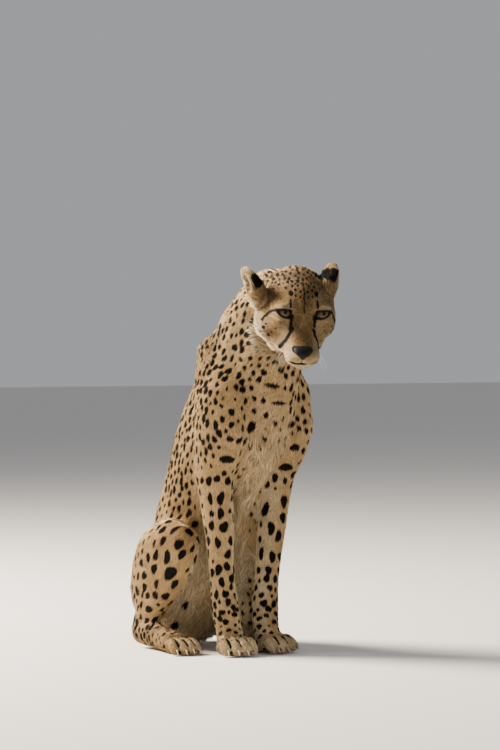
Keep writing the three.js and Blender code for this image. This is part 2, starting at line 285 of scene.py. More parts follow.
FORELEG = [
    (-200, -205, 620, 10, 16, 6.2, 5.4, 0.60),
    (-198, -240, 520, 10, 17, 6.6, 5.8, 0.60),
    (-196, -240, 430, 10, 19, 7.2, 6.0, 0.60),
    (-183, -215, 290, 8.5, 24, 10.0, 6.6, 0.58),
    (-173, -215, 170, 8, 20, 8.4, 6.2, 0.58),
    (-170, -215, 90, 8, 15, 6.4, 5.6, 0.56),
    (-166, -236, 45, 7, 15, 4.2, 6.4, 0.50),
    (-165, -290, 14, 5, 15, 0, 0, 0.36),
]
FOREARM_BACK = [
    (-193, -168, 420, 12, 19, 6.0, 5.0, 0.50),
    (-186, -174, 310, 13, 20, 5.0, 3.8, 0.36),
    (-178, -180, 220, 12, 18, 4.6, 3.6, 0.34),
    (-172, -188, 130, 9, 16, 4.0, 4.0, 0.46),
]
# The thighs' ground colour is set a little deeper than the hair's own, as painted shade.
THIGH_BACK = [
    (-175, -55, 262, 11, 20, 8.0, 5.4, 0.66),
    (-228, -20, 180, 10, 22, 9.0, 6.4, 0.66),
    (-228, 50, 70, 11, 20, 8.0, 5.6, 0.66),
]
THIGH_MIDDLE = [
    (-200, -125, 264, 10, 22, 9.0, 6.0, 0.68),
    (-256, -95, 165, 9.5, 22, 10.0, 7.4, 0.68),
    (-245, -5, 66, 10, 19, 8.0, 5.4, 0.68),
]
THIGH_FRONT = [
    (-215, -170, 245, 9.5, 22, 9.0, 6.4, 0.66),
    (-256, -160, 175, 9.5, 22, 9.5, 6.8, 0.66),
    (-250, -95, 90, 10, 21, 9.0, 6.4, 0.68),
    (-240, -30, 50, 10, 17, 7.0, 4.8, 0.70),
]
# Up the heel the ground colour is deeper than the hair's own, partly as painted shade.
FOOT = [
    (-225, 30, 45, 9, 13, 5.4, 5.0, 0.84),
    (-236, -70, 36, 8, 13, 4.2, 6.8, 0.82),
    (-242, -140, 30, 6, 13, 3.2, 4.6, 0.66),
    (-246, -200, 14, 5, 13, 0, 0, 0.50),
]
TAIL = [
    (-112, 54, 74, 15, 19, 7.5, 5.5, 0.64),
    (-104, 108, 42, 15, 20, 8.0, 6.0, 0.62),
    (-74, 160, 26, 15, 21, 8.5, 6.5, 0.60),
    (-8, 204, 23, 15, 22, 9.0, 7.5, 0.58),
    (80, 236, 22, 15, 23, 10.0, 8.0, 0.56),
    (168, 266, 22, 16, 24, 10.0, 9.0, 0.54),
    (238, 320, 22, 18, 24, 10.0, 9.0, 0.48),
    (262, 404, 22, 20, 24, 0, 0, 0.38),
    (226, 478, 23, 22, 24, 0, 0, 0.20),
    (164, 498, 20, 22, 24, 0, 0, 0.02),
]
# The forehead's and crown's ground colour is deeper than the hair's own, as painted shade.
HEAD_TOP = [
    (0, 88, -34, 2.8, 9, 0, 0, 0.90),
    (0, 40, -6, 3, 9, 0, 0, 0.92),
    (0, 8, 24, 3.5, 9, 3.0, 2.1, 0.88),
    (0, -20, 38, 4, 9.5, 3.6, 2.7, 0.90),
    (0, -70, 42, 5.5, 10, 4.6, 3.0, 0.97),
    (0, -130, 24, 9, 12.5, 5.8, 4.4, 0.84),
]
# Along the side of the face the ground colour is deeper than the hair's own, as painted shade.
HEAD_SIDE = [
    (14, 90, -56, 3, 13, 0, 0, 0.38),
    (38, 50, -52, 3.5, 13, 0, 0, 0.50),
    (54, 8, -30, 5, 13, 0, 0, 0.68),
    (72, -25, -24, 8, 13, 2.8, 2.2, 0.68),
    (78, -62, -24, 15, 13, 4.0, 3.4, 0.52),
    (86, -100, -20, 18, 14, 5.6, 4.6, 0.52),
]
TEMPLE = [
    (26, 14, 18, 3.5, 9, 2.4, 1.8, 0.80),
    (48, -6, 18, 4, 9.5, 3.0, 2.1, 0.82),
    (64, -38, 16, 6, 10, 3.8, 2.9, 0.88),
    (72, -90, 10, 10, 12, 5.2, 4.2, 0.80),
]
JAW = [
    (0, 80, -74, 4, 16, 0, 0, 0.16),
    (18, 50, -84, 6, 16, 0, 0, 0.20),
    (40, 5, -84, 13, 16, 0, 0, 0.34),
    (58, -50, -76, 21, 16, 4.0, 3.6, 0.36),
]


def ear_line(side):
    """Up an ear, from hair that fans out of its root to the short hair of its tip."""
    root, lean, _ = (np.array(v, float) for v in EARS[side])
    looks = (
        (10, 13, 12, 0, 0, 0.78),
        (40, 6, 12, 0, 0, 0.60),
        (EAR_HEIGHT, 4, 12, 0, 0, 0.50),
    )
    return head_line([(*(root + lean * along), *look) for along, *look in looks])


# The left legs stand a little further in than the right, and the left hind leg further back.
LEFT_FORE, LEFT_HIND = (-8, 0), (-22, 50)
FORE_LINES, HIND_LINES = (FORELEG, FOREARM_BACK), (THIGH_BACK, THIGH_MIDDLE, THIGH_FRONT, FOOT)
LIE = [
    ("trunk", SPINE),
    ("trunk", FLANK),
    ("trunk", mirrored(FLANK, 0, 0)),
    ("trunk", CHEST),
    ("trunk", GROIN),
    ("trunk", mirrored(GROIN, 0, 0)),
    *[("foreleg_right", line) for line in FORE_LINES],
    *[("foreleg_left", mirrored(line, *LEFT_FORE)) for line in FORE_LINES],
    *[("hind_leg_right", line) for line in HIND_LINES],
    *[("hind_leg_left", mirrored(line, *LEFT_HIND)) for line in HIND_LINES],
    ("tail", TAIL),
    ("head", head_line(HEAD_TOP)),
    *[
        ("head", head_line([(sign * s[0], *s[1:]) for s in line]))
        for line in (HEAD_SIDE, TEMPLE, JAW)
        for sign in SIDES.values()
    ],
    *[("head", ear_line(side)) for side in SIDES],
]
GROUPS = sorted({group for group, _ in LIE})
LINE_REACH = 12.0  # how near a line's pull levels off
FAR = 1e9


def beside_step(place, start, end):
    """How far along one step of a line, from 0 to 1, and how far from it places are."""
    along = end - start
    t = np.clip((place - start) @ along / max(along @ along, 1e-6), 0, 1)
    return t, np.linalg.norm(place - start - t[:, None] * along, axis=1)


class Coat:
    """The lie and looks of the coat at many places, blended from the lines near each."""

    def __init__(self, points):
        count = len(points)
        millimetres = points * 1000
        total = np.zeros(count)
        flow = np.zeros((count, 3))
        values = np.zeros((count, 5))
        pull = np.zeros((count, len(GROUPS)))
        for group, line in LIE:
            stations = np.array(line, float)
            best = np.full(count, FAR)
            toward = np.zeros((count, 3))
            here = np.zeros((count, 5))
            for start, end in zip(stations, stations[1:]):
                t, away = beside_step(millimetres, start[:3], end[:3])
                nearer = away < best
                best = np.where(nearer, away, best)
                toward[nearer] = (end[:3] - start[:3]) / np.linalg.norm(end[:3] - start[:3])
                here[nearer] = (start[3:] + t[:, None] * (end[3:] - start[3:]))[nearer]
            weight = 1 / (best**2 + LINE_REACH**2) ** 2
            total += weight
            flow += weight[:, None] * toward
            values += weight[:, None] * here
            column = GROUPS.index(group)
            pull[:, column] = np.maximum(pull[:, column], weight)
        values /= total[:, None]
        self.flow = flow / np.linalg.norm(flow, axis=1)[:, None]
        self.hair, self.gap, self.long, self.wide, self.tone = values.T
        self.group = np.argmax(pull, axis=1)


# The hide lies under the hair by the coat's depth, which is thinnest on the ears.
COAT_DEPTH = 0.32  # of the hair's length
THINNEST, THICKEST = 0.8, 6.0
points = places(skin)
coat = Coat(points)
ears = near_ears(points, 0.006)
depth = (np.clip(coat.hair * COAT_DEPTH, THINNEST, THICKEST) * (1 - ears) + THINNEST * ears) / 1000
set_places(skin, points - places(skin, "normal") * depth[:, None])
relax(skin, 3)

# Its grid is thinned, less on the face, the ears and the paws. A grain too fine to see, taken off again
# after, keeps the thinned faces of one size.
THINNED_FACES = 150000
GRAIN = 0.0006
random = np.random.default_rng(31)
points = places(skin)
left, forward, up = on_head(points)
from_muzzle = np.sqrt((left / 75) ** 2 + ((forward - 15) / 90) ** 2 + ((up + 25) / 75) ** 2)
fine = 1 - smoothstep(from_muzzle, 0.8, 1.1)
fine = np.maximum(np.maximum(fine, near_nodes(points, PAWS, 0.01)), near_ears(points, 0.004))
weigh(skin, "coarse", 1 - 0.96 * fine)
smooth = new_piece("smooth", skin.data.copy())
grain = random.uniform(-GRAIN, GRAIN, (len(points), 1)) * (1 - fine[:, None])
set_places(skin, points + places(skin, "normal") * grain)
ratio = THINNED_FACES / (2 * len(skin.data.polygons))
apply_modifier(skin, "DECIMATE", ratio=ratio, vertex_group="coarse", vertex_group_factor=1.0)
apply_modifier(skin, "SHRINKWRAP", target=smooth, wrap_method="NEAREST_SURFACEPOINT")
bpy.data.objects.remove(smooth)


def corners_of(piece):
    """The point at each corner of each face of a piece."""
    corners = np.empty(len(piece.data.loops), np.int32)
    piece.data.loops.foreach_get("vertex_index", corners)
    return corners


def split_near(piece, chosen):
    """Quarters the faces whose corners are all chosen."""
    choose(piece)
    bpy.ops.object.mode_set(mode="EDIT")
    bpy.ops.mesh.select_mode(type="FACE")
    bpy.ops.mesh.select_all(action="DESELECT")
    bpy.ops.object.mode_set(mode="OBJECT")
    starts = np.empty(len(piece.data.polygons), np.int32)
    piece.data.polygons.foreach_get("loop_start", starts)
    piece.data.polygons.foreach_set("select", np.logical_and.reduceat(chosen[corners_of(piece)], starts))
    bpy.ops.object.mode_set(mode="EDIT")
    bpy.ops.mesh.subdivide(number_cuts=1, smoothness=0)
    bpy.ops.object.mode_set(mode="OBJECT")


FINE_AT_EYES = 0.024
points = places(skin)
to_eye = np.minimum(*(np.linalg.norm(points - EYES[side], axis=1) for side in SIDES))
left, forward, up = on_head(points)
muzzle = (forward > 50) & (up < -22) & (up > -75) & (np.abs(left) < 36)
split_near(skin, (to_eye < FINE_AT_EYES) | muzzle)
apply_modifier(skin, "TRIANGULATE")

# ---- Eyelids, brows, lips and nose bed ----
# The hide closes over each eyeball and opens between the lids, which lie on the ball and are flat along the
# top. The lips meet in a groove, and the hide sinks where the nose's leather sits.
EYE_RADIUS = 17.0
EYE_AHEAD = (0.10, 1.0, 0.75)  # outward, forward and up: each eye's opening faces level as the head is bowed
INNER_CORNER, OUTER_CORNER = np.array((-14.2, -7.2)), np.array((12.4, 3.6))
UPPER_LID, LOWER_LID = 9.8, -4.8  # how far each lid stands off the line between the corners
LID_THICKNESS = 1.7
SOCKET_REACH = 40


def eye_axes(side):
    """An eye's outward, upward and forward directions in the frame."""
    ahead = np.array(EYE_AHEAD) * (SIDES[side], 1, 1)
    ahead /= np.linalg.norm(ahead)
    outward = np.array((SIDES[side], 0.0, 0.0))
    outward -= ahead * (ahead @ outward)
    outward /= np.linalg.norm(outward)
    upward = np.cross(outward, ahead) * SIDES[side]
    return np.array([HEAD_AXES @ v for v in (outward, upward, ahead)])


def lid_opening(across, above):
    """How far inside the opening a place is, in millimetres; below 0 it is outside."""
    line = OUTER_CORNER - INNER_CORNER
    length = np.linalg.norm(line)
    line = line / length
    x = (across - INNER_CORNER[0]) * line[0] + (above - INNER_CORNER[1]) * line[1]
    y = (above - INNER_CORNER[1]) * line[0] - (across - INNER_CORNER[0]) * line[1]
    t = np.clip(x / length, 0, 1)
    upper = UPPER_LID * (1 - t) ** 0.7 * smoothstep(t, 0, 0.34) ** 0.7
    lower = LOWER_LID * np.sin(np.pi * t) ** 0.8
    past = np.maximum(np.maximum(-x, x - length), 0)
    return np.where(past > 0, -np.hypot(past, np.abs(y)), np.minimum(upper - y, y - lower))


def seen_by_eye(points, side):
    """Places on an eye's own axes, their distance from its middle, and how far inside the lids they are."""
    local = (points - EYES[side]) @ eye_axes(side).T * 1000
    radius = np.linalg.norm(local, axis=1)
    return local, radius, lid_opening(local[:, 0] * EYE_RADIUS / radius, local[:, 1] * EYE_RADIUS / radius)


def lid_distance(points):
    """How far outside the nearer eye's opening places on the lids are; far from the eyes it is large."""
    best = np.full(len(points), 99.0)
    for side in SIDES:
        local, radius, opening = seen_by_eye(points, side)
        best = np.where((radius < EYE_RADIUS + 8) & (local[:, 2] > 0), np.minimum(best, -opening), best)
    return best


points = places(skin)
for side in SIDES:
    local, radius, opening = seen_by_eye(points, side)
    around = (radius < SOCKET_REACH) & (local[:, 2] > -2)
    lid = EYE_RADIUS + LID_THICKNESS + 0.9 * smoothstep(local[:, 1], 0, 8)
    outside = np.maximum(lid + (radius - lid) * smoothstep(-opening, 2.0, 11.0), EYE_RADIUS + 1.0)
    target = np.where(opening > 0, lid + (EYE_RADIUS - 1.5 - lid) * smoothstep(opening, 0, 1.0), outside)
    moved = radius + (target - radius) * smoothstep(local[:, 2], -2, 4)
    points[around] = EYES[side] + ((local * (moved / radius)[:, None])[around] / 1000) @ eye_axes(side)
set_places(skin, points)


def triangles(piece):
    return corners_of(piece).reshape(-1, 3)


def surface(piece):
    """A piece's surface, to find the nearest place on it or where a ray meets it."""
    return BVHTree.FromPolygons(places(piece).tolist(), triangles(piece).tolist())


def on_face(hide_tree, left, down):
    """The place on the face that is so far left and down it, seen level."""
    start = np.array((left, down * math.sin(HEAD_PITCH), -down * math.cos(HEAD_PITCH))) + 300 * LEVEL
    hit = hide_tree.ray_cast(in_frame(*start), HEAD_AXES @ -LEVEL)[0]
    return on_head(np.array(hit)[None])[:, 0]


def along_hide(hide_tree, stations):
    """A line on the head, given as left, forward and up, drawn onto the hide."""
    return [on_head(np.array(hide_tree.find_nearest(in_frame(*s))[0])[None])[:, 0] for s in stations]


def off_line(line, *place):
    """How far places are from a line."""
    place = np.stack(place, axis=1)
    return np.min([beside_step(place, start, end)[1] for start, end in zip(line, line[1:])], axis=0)


def press(piece, line, depth, half_width, seen=on_head):
    """Presses a groove along a line into the hide, or raises a ridge where the depth is below 0."""
    push = depth * np.exp(-((off_line(line, *seen(places(piece))) / half_width) ** 2)) / 1000
    set_places(piece, places(piece) - places(piece, "normal") * push[:, None])


# The nose and mouth lie a little to the animal's right of the middle between the eyes.
NOSE_SHIFT = -3.5
hide_tree = surface(skin)
LIP_ROUTE = [
    (0, 85, -61), (10, 84, -62.5), (20, 83, -61), (29, 76, -59), (35, 60, -58), (39, 44, -58), (42, 30, -60),
]
LIPS = [
    along_hide(hide_tree, [(sign * s[0] + NOSE_SHIFT * s[1] / LIP_ROUTE[0][1], *s[1:]) for s in LIP_ROUTE])
    for sign in SIDES.values()
]
PHILTRUM = [on_face(hide_tree, NOSE_SHIFT, down) for down in (91, 95, 99)]
BROW_ROUTE = [(22, -8), (34, -15), (47, -15), (58, -9)]
BROWS = [
    [on_face(hide_tree, sign * across, down) for across, down in BROW_ROUTE]
    for sign in SIDES.values()
]
JOWL_ROUTE = [(70, -28, -42), (64, -16, -66), (52, 2, -84)]
JOWLS = {"right": 12.0, "left": 2.0}  # how far each cheek's hair and fat stand out
for side, out in JOWLS.items():
    cheek = np.array([(SIDES[side] * s[0], *s[1:]) for s in JOWL_ROUTE])
    press(skin, cheek, depth=-out, half_width=22.0)
for line in BROWS:
    press(skin, line, depth=-2.6, half_width=6.0)
for line in LIPS:
    press(skin, line, depth=2.6, half_width=2.0)
press(skin, PHILTRUM, depth=1.6, half_width=1.6)
NOSE_DOWN, NOSE_HALF = (66, 70, 77, 84, 90), (15.5, 19.5, 18.5, 11.0, 2.2)
NOSE_TOP, NOSE_FOOT = 66.5, 90.5
NOSE_BED = 4.5
OUT_OF_FACE = HEAD_AXES @ np.array((0, 0.9, 0.43))


def nose_outline(left, down):
    """How far inside the nose's leather a place on the face is: broad above, down to a point at the lip."""
    half = np.interp(down, NOSE_DOWN, NOSE_HALF)
    return np.minimum(half - np.abs(left - NOSE_SHIFT), np.minimum(down - NOSE_TOP, NOSE_FOOT - down))


points = places(skin)
left, forward, up = on_head(points)
sink = NOSE_BED * smoothstep(nose_outline(left, down_face(forward, up)), 0.5, 3.5) * (forward > 58)
set_places(skin, points - sink[:, None] / 1000 * OUT_OF_FACE)
relax(skin, 2)

# ---- Gaps between the toes ----
# The toes part in front, where the fur between them round the roots of the claws is painted black as shade.
# Each gap starts behind the claws beside it, close to the floor, and runs up and back over the paw.
TOE_GAPS = []
for paw in PAWS:
    part, side = paw.split("_paw_")
    claws = [middle_of(f"{part}_claw_{side}_{k}") * 1000 for k in (1, 2, 3, 4)]
    back = middle_of(paw) * 1000 - sum(claws) / 4
    back[2] = 0
    back /= np.linalg.norm(back)
    for first, second in zip(claws, claws[1:]):
        front = (first + second) / 2 + back * 7
        front[2] = 4
        TOE_GAPS.append([front, front + back * 6 + (0, 0, 16), front + back * 20 + (0, 0, 29)])
for line in TOE_GAPS:
    press(skin, line, depth=3.0, half_width=3.6, seen=lambda points: points.T * 1000)

# ---- Markings ----
# Solid black spots are thrown over the hide at the spacing of each part and drawn out along the hair. The
# largest, on the legs, shoulders and throat, are listed: x, y, z, half-length and half-width.
LARGE_SPOTS = [
    (-245, -150, 255, 12, 7),
    (-220, -170, 250, 10, 9),
    (-265, -130, 230, 11, 7),
    (-250, -170, 225, 12, 8),
    (-245, -175, 205, 10, 8),
    (-220, -180, 215, 8, 5),
    (-210, -170, 190, 10, 6),
    (-265, -145, 200, 15, 9),
    (-255, -145, 165, 18, 12),
    (-270, -105, 170, 11, 9),
    (-270, -85, 190, 11, 7),
    (-270, -65, 155, 10, 9),
    (-255, -20, 120, 11, 11),
    (-265, -105, 140, 11, 6),
    (-240, -140, 140, 13, 7),
    (-255, -60, 85, 12, 7),
    (-165, -60, 85, 9, 8),
    (-170, -30, 40, 11, 8),
    (-215, -230, 320, 12, 6),
    (-200, -250, 320, 13, 8),
    (-190, -250, 260, 12, 9),
    (-200, -235, 230, 12, 6),
    (-180, -245, 205, 10, 7),
    (-75, -225, 295, 15, 9),
    (-65, -240, 255, 13, 8),
    (-50, -245, 240, 12, 8),
    (-80, -220, 205, 12, 7),
    (-40, -250, 310, 14, 8),
    (-160, -300, 465, 13, 8),
    (-190, -300, 440, 9, 8),
    (-205, -285, 400, 10, 14),
    (-45, -295, 420, 9, 9),
    (-50, -270, 380, 10, 14),
    (-140, -345, 550, 5, 16),
    (-120, -340, 515, 5, 15),
    (-175, -350, 665, 4, 3),
    (-170, -350, 660, 3, 4),
    (-165, -350, 650, 5, 5),
]


def scatter(points, faces, density):
    """Places spread over a mesh, so many to a square millimetre, as faces and weights of their corners."""
    a, b, c = (points[faces[:, k]] for k in range(3))
    area = np.linalg.norm(np.cross(b - a, c - a), axis=1) / 2 * 1e6
    heap = np.cumsum(area * density[faces].mean(axis=1))
    count = int(heap[-1])
    picks = (np.arange(count) + random.random(count)) * heap[-1] / count
    face = np.minimum(np.searchsorted(heap, picks), len(faces) - 1)
    u, v = random.random((2, count))
    u, v = np.where(u + v > 1, 1 - u, u), np.where(u + v > 1, 1 - v, v)
    return face, np.stack([1 - u - v, u, v], axis=1)


def blended(values, faces, face, weights):
    """Values at the corners, blended at places inside the faces."""
    corners = values[faces[face]]
    weights = weights.reshape(weights.shape + (1,) * (corners.ndim - 2))
    return (corners * weights).sum(axis=1)


def unit(vectors):
    """Vectors made one long."""
    return vectors / np.maximum(np.linalg.norm(vectors, axis=1), 1e-9)[:, None]


def laid_on(normal, flow):
    """The lie of hair brought onto the hide's surface."""
    return unit(flow - normal * (flow * normal).sum(axis=1)[:, None])


def ripple(points, size, seed, count=14):
    """A smooth wandering field, mostly from -1 to 1, of so many waves about this many metres long."""
    source = np.random.default_rng(seed)
    waves = source.normal(0, 1.0, (count, 3)) * 2 * np.pi / size / 1.6
    turns = source.uniform(0, 2 * np.pi, count)
    return sum(np.sin(points @ wave + turn) for wave, turn in zip(waves, turns)) / math.sqrt(count)


EAR_HOLLOW = (23, 15)  # half its width, and half its depth
EAR_REACH = 31


def ear_place(points, side):
    """Up an ear from 0 to 1, how far inside its hollow, how far ahead, and whether a place is on it."""
    root, lean, towards = (np.array(v, float) for v in EARS[side])
    lean, towards = lean / np.linalg.norm(lean), towards / np.linalg.norm(towards)
    off = on_head(points).T - root
    height = off @ lean / EAR_HEIGHT
    front = off @ towards
    aside = off @ np.cross(lean, towards)
    hollow = 1 - np.hypot(aside / EAR_HOLLOW[0], (front - 10.5) / EAR_HOLLOW[1])
    close = np.linalg.norm(off - np.outer(off @ lean, lean), axis=1) < EAR_REACH
    return height, hollow, front, close & (height > 0.05) & (height < 1.4)


hide = places(skin)
hide_normals = places(skin, "normal")
hide_faces = triangles(skin)
coat = Coat(hide)
TRIES = 0.05  # to a square millimetre
MOST_SPOTS = 7000
# No spots are thrown in the hollow between the folded legs: its middle and half-width across, back and top.
CROOK_MIDDLE, CROOK_HALF, CROOK_BACK, CROOK_TOP = -95, 95, 20, 260
SMALL_SPOTS = 0.22  # of them all


def throw_spots():
    """Spots' places, the hide's corners they sit on, and their half-lengths and half-widths."""
    face, weights = scatter(hide, hide_faces, np.full(len(hide), TRIES))
    order = random.permutation(len(face))
    face, weights = face[order], weights[order]
    places_tried = blended(hide, hide_faces, face, weights) * 1000
    gap, long, wide = (blended(v, hide_faces, face, weights) for v in (coat.gap, coat.long, coat.wide))
    corner = hide_faces[face][:, 0]
    left, forward, up = on_head(places_tried / 1000)
    down = down_face(forward, up)
    head = coat.group[corner] == GROUPS.index("head")
    bare = (down > -58) & (forward > -50) & (down < 80) & head
    x, y, z = places_tried.T
    crook = (np.abs(x - CROOK_MIDDLE) < CROOK_HALF) & (y < CROOK_BACK) & (z < CROOK_TOP)
    bare |= crook & ~np.isin(coat.group[corner], [GROUPS.index(f"foreleg_{side}") for side in SIDES])
    bare |= near_ears(places_tried / 1000, 0.004) > 0.5
    keep = (wide > np.where(head, 1.0, 2.6)) & ~bare
    count = len(LARGE_SPOTS)
    chosen, room = np.empty((MOST_SPOTS, 3)), np.zeros(MOST_SPOTS)
    chosen[:count] = [spot[:3] for spot in LARGE_SPOTS]
    room[:count] = [1.15 * max(spot[3:]) for spot in LARGE_SPOTS]
    who = [int(np.argmin(np.linalg.norm(hide * 1000 - at, axis=1))) for at in chosen[:count]]
    chosen[:count] = hide[who] * 1000
    sizes = [spot[3:] for spot in LARGE_SPOTS]
    for k in np.nonzero(keep)[0]:
        off = chosen[:count] - places_tried[k]
        away = np.sqrt(np.maximum((off**2).sum(axis=1) - 0.25 * (off @ coat.flow[corner[k]]) ** 2, 0))
        if (away < gap[k] * 0.5 + np.maximum(gap[k] * 0.32, room[:count])).any():
            continue
        chosen[count] = places_tried[k]
        who.append(int(corner[k]))
        either = random.uniform(0.5, 0.75), random.uniform(0.82, 1.2)
        size = random.choice(either, p=(SMALL_SPOTS, 1 - SMALL_SPOTS))
        sizes.append((long[k] * size * random.uniform(0.9, 1.2), wide[k] * size * random.uniform(0.92, 1.16)))
        count += 1
    return chosen[:count], np.array(who), np.array(sizes)


spot_at, spot_on, spot_size = throw_spots()
spot_normal = hide_normals[spot_on]
spot_lie = laid_on(spot_normal, coat.flow[spot_on])
spot_across = np.cross(spot_normal, spot_lie)
spot_turns = random.uniform(0, 2 * np.pi, (len(spot_at), 2))
UNMARKED = -9.0  # how far inside a marking places far from any are said to be
AT_ONCE = 3000
SPOT_REACH = 40


def in_spots(points):
    """How far inside the nearest spot each place is, in millimetres."""
    depth = np.full(len(points), UNMARKED)
    order = np.argsort(points[:, 2])
    reach = spot_size.max(axis=1)
    for start in range(0, len(order), AT_ONCE):
        picks = order[start : start + AT_ONCE]
        here = points[picks] * 1000
        low, high = here[:, 2].min() - SPOT_REACH, here[:, 2].max() + SPOT_REACH
        near = np.nonzero((spot_at[:, 2] > low) & (spot_at[:, 2] < high))[0]
        if not len(near):
            continue
        at = spot_at[near]
        power = (here**2).sum(axis=1)[:, None] + (at**2).sum(axis=1) - 2 * here @ at.T - reach[near] ** 2
        nearest = near[np.argmin(power, axis=1)]
        off = here - spot_at[nearest]
        a = (off * spot_lie[nearest]).sum(axis=1) / spot_size[nearest, 0]
        b = (off * spot_across[nearest]).sum(axis=1) / spot_size[nearest, 1]
        c = (off * spot_normal[nearest]).sum(axis=1) / (2.4 * reach[nearest])
        turn = np.arctan2(b, a)
        first, second = spot_turns[nearest].T
        edge = 1 + 0.12 * np.sin(2 * turn + first) + 0.09 * np.sin(3 * turn + second)
        depth[picks] = (edge - np.sqrt(a**2 + b**2 + c**2)) * spot_size[nearest].min(axis=1)
    return depth


# The face is lined alike on both sides: (left, down the face, half-width).
TEAR = [
    (23, 9, 2.5), (24.5, 20, 2.4), (23, 30, 2.9), (25.5, 42, 3.1),
    (31, 52, 3.1), (36.5, 62, 3.9), (40, 68, 3.5),
]
EYE_STREAK = [(51, -5, 2.2), (59, -4, 2.4), (66, 1, 2.5), (75, 14, 2.6)]
BROW_STROKE = [(27.5, -26, 1.7), (28, -11, 2.1)]
FOREHEAD = [
    (26, -39, 5.0), (17, -34, 2.3), (7, -43, 2.4), (17, -46, 2.5),
    (22, -54, 2.8), (35, -50, 2.7), (8, -32, 1.9), (11, -55, 2.4), (45, -54, 2.4),
]
MIDLINE = [
    (0, -57, 2.2), (0, -47, 2.0), (1, -38, 2.1), (-1, -29, 2.0),
    (1, -20, 1.9), (-1, -11, 1.7), (0, -3, 1.5),
]
CHEEK = [
    (73, 28, 3.5), (67, 35, 2.6), (62, 44, 3.2), (68, 22, 2.2),
    (50, 31, 1.8), (57, 38, 1.8), (76, 38, 2.6),
]
TAIL_RINGS = ((520, 9), (566, 10), (612, 11), (660, 13), (710, 16))  # along the tail, and half-width
TAIL_TIP = 742
TAIL_REACH = 60


def in_line(line, *place):
    """How far inside a stroke places are. Each point of the stroke ends in its half-width there."""
    place = np.stack(place, axis=1)
    depth = np.full(len(place), UNMARKED)
    for (*start, w0), (*end, w1) in zip(line, line[1:]):
        t, away = beside_step(place, np.array(start), np.array(end))
        depth = np.maximum(depth, w0 + t * (w1 - w0) - away)
    return depth


def seen_level(left, forward, up):
    """Left, down the face and half of how far forward, so that no mark is drawn out where the face turns."""
    return left, down_face(forward, up), 0.5 * (forward * math.cos(HEAD_PITCH) + up * math.sin(HEAD_PITCH))


hide_face = np.stack(seen_level(*on_head(hide)), axis=1)
turned_level = hide_normals @ HEAD_AXES @ LEVEL
out_of_sight = 1000.0 * ((turned_level < 0.05) | (on_head(hide)[1] < -60))


def stroke_on(side, line):
    """A stroke on one side, given as left, down and half-width, laid onto the hide in short steps."""
    line = np.array(line, float)
    steps = np.linspace(0, len(line) - 1, 6 * len(line) - 5)
    across, down, widths = (np.interp(steps, range(len(line)), column) for column in line.T)
    stroke = []
    for x, y, width in zip(SIDES[side] * across, down, widths):
        nearest = np.argmin(np.hypot(hide_face[:, 0] - x, hide_face[:, 1] - y) + out_of_sight)
        stroke.append((*hide_face[nearest], width))
    return stroke


STROKES = [stroke_on(side, line) for line in (TEAR, EYE_STREAK) for side in SIDES]
CHEEK_SPOTS = [stroke_on(side, [spot])[0] for spot in CHEEK for side in SIDES]


def along_tail(points):
    """How far along the tail each place is, in millimetres, and how far it is from the tail's middle."""
    stations = np.array([s[:3] for s in TAIL], float)
    best, where, passed = np.full(len(points), FAR), np.zeros(len(points)), 0.0
    for start, end in zip(stations, stations[1:]):
        t, away = beside_step(points * 1000, start, end)
        length = np.linalg.norm(end - start)
        where = np.where(away < best, passed + t * length, where)
        best = np.minimum(best, away)
        passed += length
    return where, best


MOUTH_LEFT = -9  # where the dark of the lips is broadest
PAINTED_TOE_SHADE = 3.8


def in_marks_and_shade(points):
    """How far inside black each place is, in millimetres: spots, the face's lines, ears, painted shade
    between the toes, tail.
    """
    depth = in_spots(points)
    left, forward, up = on_head(points)
    across, down = np.abs(left), down_face(forward, up)
    face = np.nonzero((forward > -40) & (across < 95) & (down < 125) & (down > -75) & (forward < 120))[0]
    left, forward, up, across, down = (values[face] for values in (left, forward, up, across, down))
    level = seen_level(left, forward, up)
    marks = in_line(BROW_STROKE, across, down)
    for stroke in STROKES:
        marks = np.maximum(marks, in_line(stroke, *level))
    for *spot, radius in CHEEK_SPOTS:
        marks = np.maximum(marks, radius - np.linalg.norm(np.stack(level, axis=1) - spot, axis=1))
    for x, y, radius in FOREHEAD:
        marks = np.maximum(marks, radius - np.hypot((across - x) * 1.1, (down - y) * 0.9))
    for x, y, radius in MIDLINE:
        marks = np.maximum(marks, radius - np.hypot((left - x) * 1.3, (down - y) * 0.45))
    for line in LIPS:
        aside = np.abs(left - MOUTH_LEFT)
        lip = 3.4 - 2.0 * smoothstep(aside, 8, 22) + 0.7 * smoothstep(aside, 26, 36)
        marks = np.maximum(marks, lip - off_line(line, left, forward, up))
    marks = np.maximum(marks, 0.9 - off_line(PHILTRUM, left, forward, up))
    marks = np.maximum(marks, np.where((nose_outline(left, down) > -1.5) & (forward > 60), 1.0, UNMARKED))
    marks = np.maximum(marks, 3.0 - lid_distance(points[face]))
    depth[face] = np.maximum(depth[face], marks)
    for side in SIDES:
        height, hollow, front, near = ear_place(points, side)
        patch = np.minimum(np.minimum(5 - front, (height - 0.24) * EAR_HEIGHT), (0.72 - height) * EAR_HEIGHT)
        patch = patch - 1.0 + 1.6 * ripple(points, 0.012, 21)
        depth = np.where(near & (hollow < 0), np.maximum(depth, patch), depth)
    # Painted shade: black in the gaps between the toes, near the floor.
    low = np.nonzero(points[:, 2] < 0.05)[0]
    for line in TOE_GAPS:
        depth[low] = np.maximum(depth[low], PAINTED_TOE_SHADE - off_line(line, *(points[low].T * 1000)))
    where, away = along_tail(points)
    for at, half in TAIL_RINGS:
        depth = np.where(away < TAIL_REACH, np.maximum(depth, half - np.abs(where - at)), depth)
    return depth


hide_marks_and_shade = in_marks_and_shade(hide)

